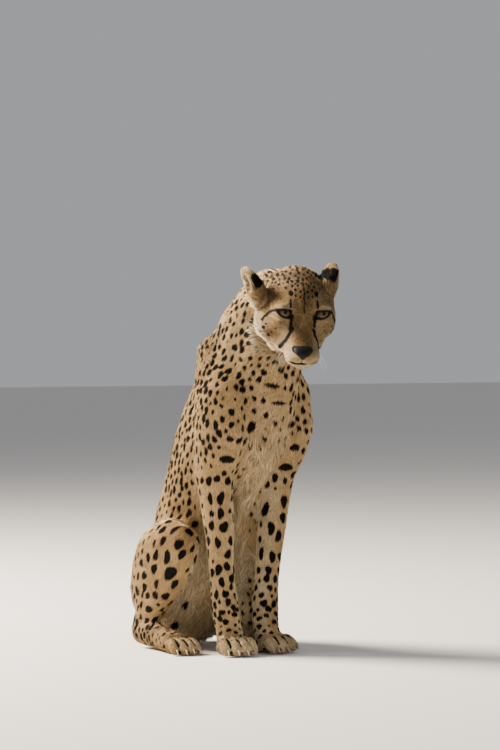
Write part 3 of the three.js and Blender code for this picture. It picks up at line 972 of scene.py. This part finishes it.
# ---- The coat's colours ----
# One material serves the hide and the hair. It reads the ground colour's depth, how far inside a marking or
# the painted shade between the toes each place is, and each tuft's grain, darkened as painted shade on the
# head and at the tufts' roots.
CREAM = (0.68, 0.55, 0.35)
BUFF = (0.57, 0.42, 0.235)
GOLD = (0.50, 0.33, 0.150)
RUFOUS = (0.255, 0.150, 0.062)
BLACK = (0.004, 0.0035, 0.003, 1)


class Shade:
    """A shader socket, so that shader sums read as Python expressions."""

    def __init__(self, tree, socket):
        self.tree, self.socket = tree, socket

    @classmethod
    def node(cls, tree, kind, settings, inputs, output=0):
        """Adds a node with its settings, then its sockets' values or links, and gives one of its outputs."""
        made = tree.nodes.new(kind)
        for name, value in settings.items():
            if name == "stops":
                for _ in value[2:]:
                    made.color_ramp.elements.new(1.0)
                for element, (at, colour) in zip(made.color_ramp.elements, value):
                    element.position = at
                    element.color = (*colour, 1)
            else:
                setattr(made, name, value)
        for key, value in inputs.items():
            if isinstance(value, Shade):
                tree.links.new(value.socket, made.inputs[key])
            else:
                made.inputs[key].default_value = value
        return cls(tree, made.outputs[output])

    def sum(self, operation, *values):
        return Shade.node(self.tree, "ShaderNodeMath", {"operation": operation}, dict(enumerate(values)))

    def __add__(self, other):
        return self.sum("ADD", self, other)

    __radd__ = __add__

    def __mul__(self, other):
        return self.sum("MULTIPLY", self, other)

    __rmul__ = __mul__

    def step(self, low, high):
        """0 below one value to 1 above another."""
        ends = {0: self, 1: low, 2: high, 3: 0.0, 4: 1.0}
        return Shade.node(self.tree, "ShaderNodeMapRange", {"interpolation_type": "SMOOTHSTEP"}, ends)

    def mix(self, first, second):
        """From the first colour to the second as this goes from 0 to 1."""
        ends = {0: self, 6: first, 7: second}
        return Shade.node(self.tree, "ShaderNodeMix", {"data_type": "RGBA"}, ends, 2)


def material(name, roughness, specular):
    """A new material, its nodes, and the shader that its surface is made with."""
    made = bpy.data.materials.new(name)
    made.use_nodes = True
    body = made.node_tree.nodes["Principled BSDF"]
    body.inputs["Roughness"].default_value = roughness
    body.inputs["Specular IOR Level"].default_value = specular
    return made, made.node_tree, body


def attribute(tree, name):
    """A number that make_part keeps at each of a piece's points."""
    return Shade.node(tree, "ShaderNodeAttribute", {"attribute_name": name}, {}, 2)


def coat_material():
    made, tree, body = material("coat", 0.7, 0.12)
    tone, mark, grain = (attribute(tree, name) for name in ("tone", "mark", "grain"))
    stops = [(0.0, CREAM), (0.33, BUFF), (0.66, GOLD), (1.0, RUFOUS)]
    ground = Shade.node(tree, "ShaderNodeValToRGB", {"stops": stops}, {0: tone})
    # The grain, each tuft's random tone with the painted shade of the head and of the tufts' roots in it,
    # darkens the ground colour.
    grey = Shade.node(tree, "ShaderNodeCombineColor", {}, {k: 0.55 + 0.68 * grain for k in range(3)})
    darken = {"data_type": "RGBA", "blend_type": "MULTIPLY"}
    ground = Shade.node(tree, "ShaderNodeMix", darken, {0: 1.0, 6: ground, 7: grey}, 2)
    colour = mark.step(-0.8, 0.3).mix(ground, BLACK)
    tree.links.new(colour.socket, body.inputs["Base Color"])
    return made


COAT = coat_material()


# Places on the face where the ground colour changes: left, down, their half-sizes and the change.
FACE_PATCHES = [
    (42, -11, 13, 4.5, -0.50),
    (36, 16, 12, 5, -0.40),
    (33, 34, 6, 12, -0.22),
    (14, 34, 8, 30, 0.10),
    (10, 60, 10, 8, 0.16),
    (52, -22, 14, 9, 0.12),
    (62, 24, 14, 12, 0.08),
]
RUFF = [(88, -14, 5.0), (84, 0, 6.0), (79, 20, 6.0), (72, 50, 6.0), (62, 75, 6.0)]


def ground_tone(points, normals, tone):
    """The ground colour: paler inside the legs, at the tail's tip and in patches on the face and ears."""
    inward = np.where(points[:, 0] < MIDDLE / 1000, normals[:, 0], -normals[:, 0])
    low = 1 - smoothstep(points[:, 2], 0.30, 0.46)
    tone = tone - 0.34 * smoothstep(inward, 0.0, 0.8) * low * (points[:, 1] < 0.12)
    tone = tone + 0.05 * ripple(points, 0.05, 7) + 0.05 * ripple(points, 0.012, 11)
    left, forward, up = on_head(points)
    across, down = np.abs(left), down_face(forward, up)
    face = (forward > -30) & (down < 125) & (across < 85)
    for x, y, wide, high, change in FACE_PATCHES:
        tone = tone + face * change * np.exp(-(((across - x) / wide) ** 2) - ((down - y) / high) ** 2)
    tone = tone + face * 0.12 * ripple(points, 0.006, 13)
    beside = (forward > -75) & (forward < 30) & (down > -20) & (down < 90)
    tone = tone - 0.40 * beside * smoothstep(in_line(RUFF, across, down), -5, 2)
    for side in SIDES:
        height, hollow, _, near = ear_place(points, side)
        tone = np.where(near & (hollow > 0), 0.22, tone)
        tone = np.where(near & (height > 0.72), 0.40, tone)
    where, away = along_tail(points)
    tone = np.where(away < TAIL_REACH, tone * (1 - smoothstep(where, TAIL_TIP - 12, TAIL_TIP)), tone)
    return np.clip(tone, 0, 1)


def painted_head_shade(points):
    """Painted shade: how much darker the head's hair is drawn than the body's, most on the crown and least at
    the lips.
    """
    left, forward, up = on_head(points)
    face = smoothstep(forward, -125, -65) * (1 - smoothstep(np.hypot(left, up), 115, 155))
    return face * (0.58 - 0.20 * smoothstep(down_face(forward, up), 60, 95))


def make_part(mesh, colours, made_of):
    """Finishes a mesh: what its material reads at each point, smooth faces, and the material."""
    for key, values in colours.items():
        held = mesh.attributes.new(key, "FLOAT", "POINT")
        held.data.foreach_set("value", np.ascontiguousarray(values, np.float32))
    mesh.polygons.foreach_set("use_smooth", np.ones(len(mesh.polygons), bool))
    mesh.materials.append(made_of)


skin_tone = ground_tone(hide, hide_normals, coat.tone)
# The hide's grain is an even 0.40, less the painted shade of the head.
skin_grain_and_shade = 0.40 - painted_head_shade(hide)
make_part(skin.data, {"tone": skin_tone, "mark": hide_marks_and_shade, "grain": skin_grain_and_shade}, COAT)


def mesh_of(name, points, faces):
    """A mesh of triangles."""
    mesh = bpy.data.meshes.new(name)
    mesh.vertices.add(len(points))
    mesh.vertices.foreach_set("co", np.ascontiguousarray(points, np.float32).ravel())
    mesh.loops.add(faces.size)
    mesh.loops.foreach_set("vertex_index", np.ascontiguousarray(faces, np.int32).ravel())
    mesh.polygons.add(len(faces))
    mesh.polygons.foreach_set("loop_start", np.arange(0, faces.size, 3, dtype=np.int32))
    mesh.update(calc_edges=True)
    return mesh


SHARPEST_FOLD = math.radians(66)
ISLAND_GAP = 0.004


class Chart:
    """Part of the hide, thinned and unwrapped by its own shape, where places on the hide are looked up."""

    def __init__(self, faces, kept):
        used, renumbered = np.unique(faces, return_inverse=True)
        part = new_piece("chart", mesh_of("chart", hide[used], renumbered.reshape(-1, 3)))
        apply_modifier(part, "DECIMATE", ratio=kept / len(faces))
        edit_all(part, bpy.ops.uv.smart_project, angle_limit=SHARPEST_FOLD, island_margin=ISLAND_GAP)
        uv = np.empty(len(part.data.loops) * 2, np.float32)
        part.data.uv_layers[0].uv.foreach_get("vector", uv)
        self.uv = uv.reshape(-1, 3, 2).astype(float)
        self.corners = places(part)[triangles(part)]
        self.tree = surface(part)
        bpy.data.objects.remove(part)

    def nearest(self, points):
        """The chart's face nearest each point."""
        return np.array([self.tree.find_nearest(point)[2] for point in points.tolist()])

    def lay(self, points, face):
        """Places on the chart of points by these faces of it."""
        a, b, c = (self.corners[face, k] for k in range(3))
        ab, ac, ap = b - a, c - a, points - a
        d00, d01, d11 = (ab * ab).sum(1), (ab * ac).sum(1), (ac * ac).sum(1)
        d20, d21 = (ap * ab).sum(1), (ap * ac).sum(1)
        size = np.maximum(d00 * d11 - d01 * d01, 1e-18)
        v, w = (d11 * d20 - d01 * d21) / size, (d00 * d21 - d01 * d20) / size
        weights = np.stack([1 - v - w, v, w], axis=1)
        return (self.uv[face] * weights[:, :, None]).sum(axis=1)


def set_uv(mesh, uv):
    """The map that the colours are baked on, a place for each corner of each face."""
    layer = mesh.uv_layers.new(name="OFBake")
    layer.uv.foreach_set("vector", np.ascontiguousarray(np.clip(uv, 0, 1), np.float32).ravel())


HIDE_CHART_FACES = 14000
chart = Chart(hide_faces, HIDE_CHART_FACES)
face_of_chart = np.repeat(chart.nearest(hide[hide_faces].mean(axis=1)), 3)
set_uv(skin.data, chart.lay(hide[hide_faces.ravel()], face_of_chart))
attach(skin, "root")
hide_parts(*FLESH)

# ---- Eyes ----
# Each is a ball with a domed cornea, deep amber with a round pupil and a dark edge, and looks level ahead.
# The iris's fibres run out from the pupil.
GAZE_TURN = math.radians(19)
GAZE = unit(np.array([(-math.sin(GAZE_TURN), -math.cos(GAZE_TURN), -0.02)]))[0]
IRIS, PUPIL = 11.2, 3.6
CORNEA_HALF, CORNEA_RISE = 11.0, 1.4


def eye_material():
    made, tree, ball = material("eye", 0.25, 0.12)
    off, ring = attribute(tree, "off_pupil"), attribute(tree, "round_pupil")
    across_fibres = Shade.node(tree, "ShaderNodeCombineXYZ", {}, {0: ring * 9, 1: off * 0.16})
    waves = {"Vector": across_fibres, "Scale": 2.4, "Detail": 3.0}
    fibres = Shade.node(tree, "ShaderNodeTexNoise", {"noise_dimensions": "2D"}, waves)
    stops = [(0.3, (0.040, 0.026, 0.010)), (0.7, (0.105, 0.066, 0.027))]
    iris = Shade.node(tree, "ShaderNodeValToRGB", {"stops": stops}, {0: fibres})
    iris = off.step(IRIS * 0.62, IRIS).mix(iris, (0.016, 0.009, 0.004, 1))
    colour = off.step(IRIS - 0.3, IRIS + 0.6).mix(iris, (0.012, 0.008, 0.006, 1))
    colour = off.step(PUPIL - 0.3, PUPIL + 0.3).mix((0.002, 0.002, 0.002, 1), colour)
    tree.links.new(colour.socket, ball.inputs["Base Color"])
    ball.inputs["Coat Weight"].default_value = 0.10
    ball.inputs["Coat Roughness"].default_value = 0.03
    return made


def new_ball(name, segments, rings, radius):
    """A ball at the origin, to be shaped."""
    bpy.ops.object.select_all(action="DESELECT")
    bpy.ops.mesh.primitive_uv_sphere_add(segments=segments, ring_count=rings, radius=radius)
    ball = bpy.context.object
    ball.name = ball.data.name = name
    return ball


EYE = eye_material()
for side in SIDES:
    ball = new_ball(f"eyeball_{side}", 64, 40, EYE_RADIUS / 1000)
    points = places(ball)
    toward = points @ GAZE * 1000
    off = np.sqrt(np.maximum((points**2).sum(axis=1) * 1e6 - toward**2, 0))
    dome = np.where(toward > 0, CORNEA_RISE * np.clip(1 - (off / CORNEA_HALF) ** 2, 0, 1) ** 1.3, 0)
    beside = np.cross(GAZE, (0, 0, 1))
    ring = np.abs(np.arctan2(points @ np.cross(beside, GAZE), points @ beside))
    set_places(ball, points * (1 + dome / EYE_RADIUS)[:, None] + EYES[side])
    make_part(ball.data, {"off_pupil": np.where(toward > 0, off, 40), "round_pupil": ring}, EYE)
    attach(ball, "root")
    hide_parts(f"eye_{side}")

# ---- Nose ----
# Bare black leather, broad above and narrowed to the lip, pebbled, with a nostril each side that runs out
# into a slit. It is a ball shaped into that form and set in the sunken bed of the hide.
NOSE_AT = (NOSE_SHIFT, 79.5, -38.5)
NOSE_WIDE, NOSE_DEEP, NOSE_HIGH = 20.5, 13.5, 12.5
NOSTRIL_AT, NOSTRIL_DEPTH = (9.5, -1.5), 7.0
SLIT_DEPTH, GROOVE_DEPTH = 2.4, 1.3

nose = new_ball("nose_leather", 96, 64, 1)
ball = places(nose)
boxed = np.sign(ball) * np.abs(ball) ** 0.78
narrow = 0.14 + 0.86 * smoothstep(boxed[:, 2], -1.2, 0.8)
x = boxed[:, 0] * NOSE_WIDE * narrow
z = boxed[:, 2] * NOSE_HIGH
y = boxed[:, 1] * NOSE_DEEP * (0.80 + 0.20 * smoothstep(boxed[:, 2], -1.0, 0.2)) - 0.012 * x**2
front = smoothstep(boxed[:, 1], 0.0, 0.5)
aside = np.abs(x)
hole = np.exp(-(((aside - NOSTRIL_AT[0]) / 3.6) ** 2) - ((z - NOSTRIL_AT[1]) / 2.9) ** 2)
slit = np.exp(-(((z - (-3.5 + 0.35 * (aside - 10))) / 1.2) ** 2))
slit *= smoothstep(aside, 9, 12) * (1 - smoothstep(aside, 17, 20))
groove = np.exp(-((x / 1.2) ** 2)) * (1 - smoothstep(z, -2, 5))
y -= front * (NOSTRIL_DEPTH * hole + SLIT_DEPTH * slit + GROOVE_DEPTH * groove)
shaped = np.array(NOSE_AT) + np.stack([x, y, z], axis=1)
set_places(nose, HEAD_AT + shaped / 1000 @ HEAD_AXES.T)
edit_all(nose, bpy.ops.mesh.normals_make_consistent, inside=False)
LEATHER, tree, body = material("nose_leather", 0.62, 0.1)
body.inputs["Base Color"].default_value = (0.008, 0.008, 0.009, 1)
place = Shade.node(tree, "ShaderNodeTexCoord", {}, {}, 3)
pebbles = Shade.node(tree, "ShaderNodeTexVoronoi", {}, {"Vector": place, "Scale": 900.0})
bump = Shade.node(tree, "ShaderNodeBump", {}, {"Strength": 0.4, "Distance": 0.0004, "Height": pebbles})
tree.links.new(bump.socket, body.inputs["Normal"])
make_part(nose.data, {}, LEATHER)
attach(nose, "root")
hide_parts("nose")

# ---- Claws ----
# Blunt curved claws of horn, dark at the root and pale amber at the tip, which a cheetah never draws in
# fully. Each is its solid with its facets smoothed, held in the fur of its toe.
CLAW, tree, body = material("claw", 0.34, 0.5)
stops = [(0.0, (0.05, 0.035, 0.025)), (0.5, (0.30, 0.22, 0.14)), (1.0, (0.56, 0.48, 0.36))]
horn = Shade.node(tree, "ShaderNodeValToRGB", {"stops": stops}, {0: attribute(tree, "along")})
tree.links.new(horn.socket, body.inputs["Base Color"])
body.inputs["Coat Weight"].default_value = 0.25
for name in [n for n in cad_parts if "claw" in n]:
    claw = copy_of([name], f"{name}_horn")
    apply_modifier(claw, "SUBSURF", levels=1, render_levels=1)
    points = places(claw)
    low, high = points[:, 1].min(), points[:, 1].max()
    make_part(claw.data, {"along": (high - points[:, 1]) / (high - low)}, CLAW)
    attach(claw, "root")
    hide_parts(name)

# ---- Whiskers ----
# Stiff white hairs stand in three rows on each side of the lip, curving out, down and back. Each is a closed
# tapering tube of five sides, sunk a little into the hide.
WHISKER_ROWS, WHISKERS_IN_ROW = 3, 3
WHISKER_SPOTS = [
    on_face(hide_tree, NOSE_SHIFT + sign * (26 + 5.0 * k), 76 + 6 * row - 1.4 * k)
    for sign in SIDES.values()
    for row in range(WHISKER_ROWS)
    for k in range(WHISKERS_IN_ROW)
]
WHISKER_ROOT, WHISKER_TIP = 0.28, 0.07
WHISKER_JOINTS, WHISKER_SIDES = 7, 5
WHISKER_SUNK = 2  # how deep each root stands in the lip
points, faces = [], []
for root in WHISKER_SPOTS:
    sign = np.sign(root[0] - NOSE_SHIFT)
    way = np.array((sign * random.uniform(0.6, 0.8), random.uniform(0.2, 0.5), random.uniform(-0.8, -0.4)))
    bend = np.array((-sign * 0.3, -0.2, -0.6)) * random.uniform(0.7, 1.3)
    length = random.uniform(24, 44)
    first = len(points)
    for joint in range(WHISKER_JOINTS + 1):
        t = joint / WHISKER_JOINTS
        centre = root + way * length * t + bend * length * t**2 * 0.5 - way * WHISKER_SUNK * (joint == 0)
        radius = WHISKER_ROOT + (WHISKER_TIP - WHISKER_ROOT) * t
        for k in range(WHISKER_SIDES):
            turn = 2 * math.pi * k / WHISKER_SIDES
            points.append(centre + radius * np.array((0, math.cos(turn), math.sin(turn))))
        for k in range(WHISKER_SIDES if joint else 0):
            a = first + (joint - 1) * WHISKER_SIDES + k
            b = first + (joint - 1) * WHISKER_SIDES + (k + 1) % WHISKER_SIDES
            faces += [(a, b, a + WHISKER_SIDES), (b, b + WHISKER_SIDES, a + WHISKER_SIDES)]
    last = len(points) - WHISKER_SIDES
    faces += [(first, first + k + 1, first + k) for k in range(1, WHISKER_SIDES - 1)]
    faces += [(last, last + k, last + k + 1) for k in range(1, WHISKER_SIDES - 1)]
points = HEAD_AT + np.array(points) / 1000 @ HEAD_AXES.T
whiskers = new_piece("whiskers", mesh_of("whiskers", points, np.array(faces)))
edit_all(whiskers, bpy.ops.mesh.normals_make_consistent, inside=False)
WHISKER, tree, body = material("whisker", 0.35, 0.5)
body.inputs["Base Color"].default_value = (0.74, 0.70, 0.60, 1)
make_part(whiskers.data, {}, WHISKER)
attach(whiskers, "root")

# ---- Tufts ----
# The hair stands in closed, tapering tufts, rooted in the hide and lying along the body, short ones straight
# and long ones curved. Each is coloured as the hide under it is.
CLOSE = 2.3  # how many tufts lie over each other
SHORTEST, LONGEST = 2.5, 30
LONG_HAIR = 15.0
PATCH = 0.003  # of a tuft on its chart
ROOT_SUNK = 0.0004
FLOOR_HAIR = 0.0003  # what would reach below the floor is pressed flat on it
REGION_CHART_FACES = 1500
length = np.clip(coat.hair, SHORTEST, LONGEST)
width = 0.335 + 0.107 * np.minimum(length, 14)
left, forward, up = on_head(hide)
leather = (nose_outline(left, down_face(forward, up)) > -0.3) & (forward > 58)
under = (hide[:, 2] < 0.0025) & (hide_normals[:, 2] < -0.6)
density = CLOSE / (0.5 * length * width) * ~leather * ~under * (lid_distance(hide) > 1.4)
face, weights = scatter(hide, hide_faces, density)
root = blended(hide, hide_faces, face, weights)
normal = unit(blended(hide_normals, hide_faces, face, weights))
lie = laid_on(normal, blended(coat.flow, hide_faces, face, weights))
across = np.cross(normal, lie)
length = blended(length, hide_faces, face, weights)
loose = smoothstep(length, 9, 22)
wander = (0.10 + 0.34 * loose) * ripple(root, 0.03, 5) + random.normal(0, 0.10 + 0.10 * loose)
lie = lie * np.cos(wander)[:, None] + across * np.sin(wander)[:, None]
across = np.cross(normal, lie)
length = length * random.uniform(0.72, 1.25, len(face)) * (1 + 0.16 * loose * ripple(root, 0.025, 6))
width = blended(width, hide_faces, face, weights) * random.uniform(0.8, 1.2, len(face))
lift = (random.normal(0.25, 0.07, len(face)) + 0.16 * loose * ripple(root, 0.014, 8)).clip(0.10, 0.7)
tone = ground_tone(root, normal, blended(coat.tone, hide_faces, face, weights))
tone += random.normal(0, 0.04, len(face))
# Each tuft's grain is a random tone, less the painted shade of the head.
grain = random.uniform(0, 1, len(face)) ** 0.8 + 0.13 * ripple(root, 0.009, 9) + 0.10 * ripple(root, 0.03, 10)
grain += 0.34 * loose * ripple(root, 0.006, 12) - painted_head_shade(root)
root_mark_and_shade, tip_mark_and_shade = (in_marks_and_shade(root + lie * length[:, None] * share / 1000) for share in (0.5, 0.9))


def tufts(name, picks, joints):
    """One mesh of the chosen tufts, of so many joints each."""
    sideways, outward = across[picks], normal[picks]
    centre = root[picks] - outward * ROOT_SUNK
    angle = lift[picks]
    rings, shares = [], []
    for joint in range(joints):
        half = width[picks, None] / 2000 * (1 - (joint / joints) ** 1.5)
        rings += [centre - sideways * half, centre + sideways * half, centre + outward * half * 1.1]
        shares += [joint / joints] * 3
        way = lie[picks] * np.cos(angle)[:, None] + outward * np.sin(angle)[:, None]
        centre = centre + way * length[picks, None] / joints / 1000
        angle = angle * 0.5 - 0.12 * (joints > 1)
    rings.append(centre)
    share = np.array(shares + [1.0])
    corners = len(share)
    faces = [(0, 1, 2)]
    for joint in range(joints - 1):
        for k in range(3):
            a, b = 3 * joint + k, 3 * joint + (k + 1) % 3
            faces += [(a, a + 3, b), (b, a + 3, b + 3)]
    faces += [(corners - 4 + k, corners - 1, corners - 4 + (k + 1) % 3) for k in range(3)]
    all_faces = (np.array(faces)[None] + np.arange(len(picks))[:, None, None] * corners).reshape(-1, 3)
    bent = np.stack(rings, axis=1).reshape(-1, 3)
    bent[:, 2] = np.maximum(bent[:, 2], FLOOR_HAIR)
    mesh = mesh_of(name, bent, all_faces)
    marks = root_mark_and_shade[picks, None] * (1 - share) + tip_mark_and_shade[picks, None] * share
    # Each tuft's grain is drawn darker toward its root, as painted shade under the hair lying over it.
    colours = {
        "tone": np.repeat(tone[picks], corners),
        "mark": marks.ravel(),
        "grain": (grain[picks, None] * (0.65 + 0.45 * share)).ravel(),
    }
    make_part(mesh, colours, COAT)
    region = Chart(hide_faces[np.unique(face[picks])], REGION_CHART_FACES)
    at = region.lay(root[picks], region.nearest(root[picks]))
    up_tuft = np.repeat(np.arange(joints) / joints, 3)
    spread = np.stack([np.tile((-0.5, 0.5, 0.0), joints), up_tuft - 0.5], axis=1)
    spread[:, 0] *= 1 - 0.5 * up_tuft
    spread[2::3, 1] += 0.2
    spread = np.vstack([spread, (0.0, 0.5)]) * PATCH
    set_uv(mesh, (at[:, None] + spread)[:, np.array(faces).ravel()].reshape(-1, 2))
    piece = new_piece(name, mesh)
    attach(piece, "root")


# A piece's tufts are kept few enough for it to stay under 200,000 faces.
TUFT_KINDS = (("short", 1, 49000), ("long", 2, 19500))
group = coat.group[hide_faces[face][:, 0]]
for number, part in enumerate(GROUPS):
    for kind, joints, most in TUFT_KINDS:
        picks = np.nonzero((group == number) & ((length > LONG_HAIR) == (kind == "long")))[0]
        picks = picks[np.argsort(root[picks, 2])]
        pieces = np.array_split(picks, len(picks) // most + 1)
        for count, some in enumerate(pieces):
            if len(some):
                tufts(f"{kind}_hair_{part}" + (f"_{count + 1}" if len(pieces) > 1 else ""), some, joints)

# ---- Floor and light ----
# The model stands on a plain pale floor, in soft warm light from high behind its right side, a weak fill
# from its left front and an even grey light all round.
FLOOR_REACH = 30
AMBIENT = 0.40
LAMPS_AIM = Vector((0, 0, 0.5))
floor = new_piece("floor", bpy.data.meshes.new("floor"))
floor_corners = [(x * FLOOR_REACH, y * FLOOR_REACH, 0) for x, y in ((-1, -1), (1, -1), (1, 1), (-1, 1))]
floor.data.from_pydata(floor_corners, [], [(0, 1, 2, 3)])
made, tree, body = material("floor", 0.8, 0.3)
body.inputs["Base Color"].default_value = (0.70, 0.68, 0.65, 1)
floor.data.materials.append(made)
world = bpy.data.worlds.new("studio")
bpy.context.scene.world = world
world.use_nodes = True
sky = world.node_tree.nodes["Background"]
sky.inputs["Color"].default_value = (0.94, 0.95, 1.0, 1)
sky.inputs["Strength"].default_value = AMBIENT


def lamp(name, place, size, power, colour):
    """A round soft lamp aimed at the model."""
    light = bpy.data.lights.new(name, "AREA")
    light.shape = "DISK"
    light.size = size
    light.energy = power
    light.color = colour
    piece = new_piece(name, light)
    piece.location = place
    piece.rotation_euler = (LAMPS_AIM - Vector(place)).to_track_quat("-Z", "Y").to_euler()
    return piece


lamp("key", (-2.35, 2.6, 2.9), 2.4, 1300, (1.0, 0.90, 0.77))
fill = lamp("fill", (2.4, -4.4, 2.4), 3.4, 85, (0.96, 0.97, 1.0))
fill.visible_glossy = False  # it would cover the pupils
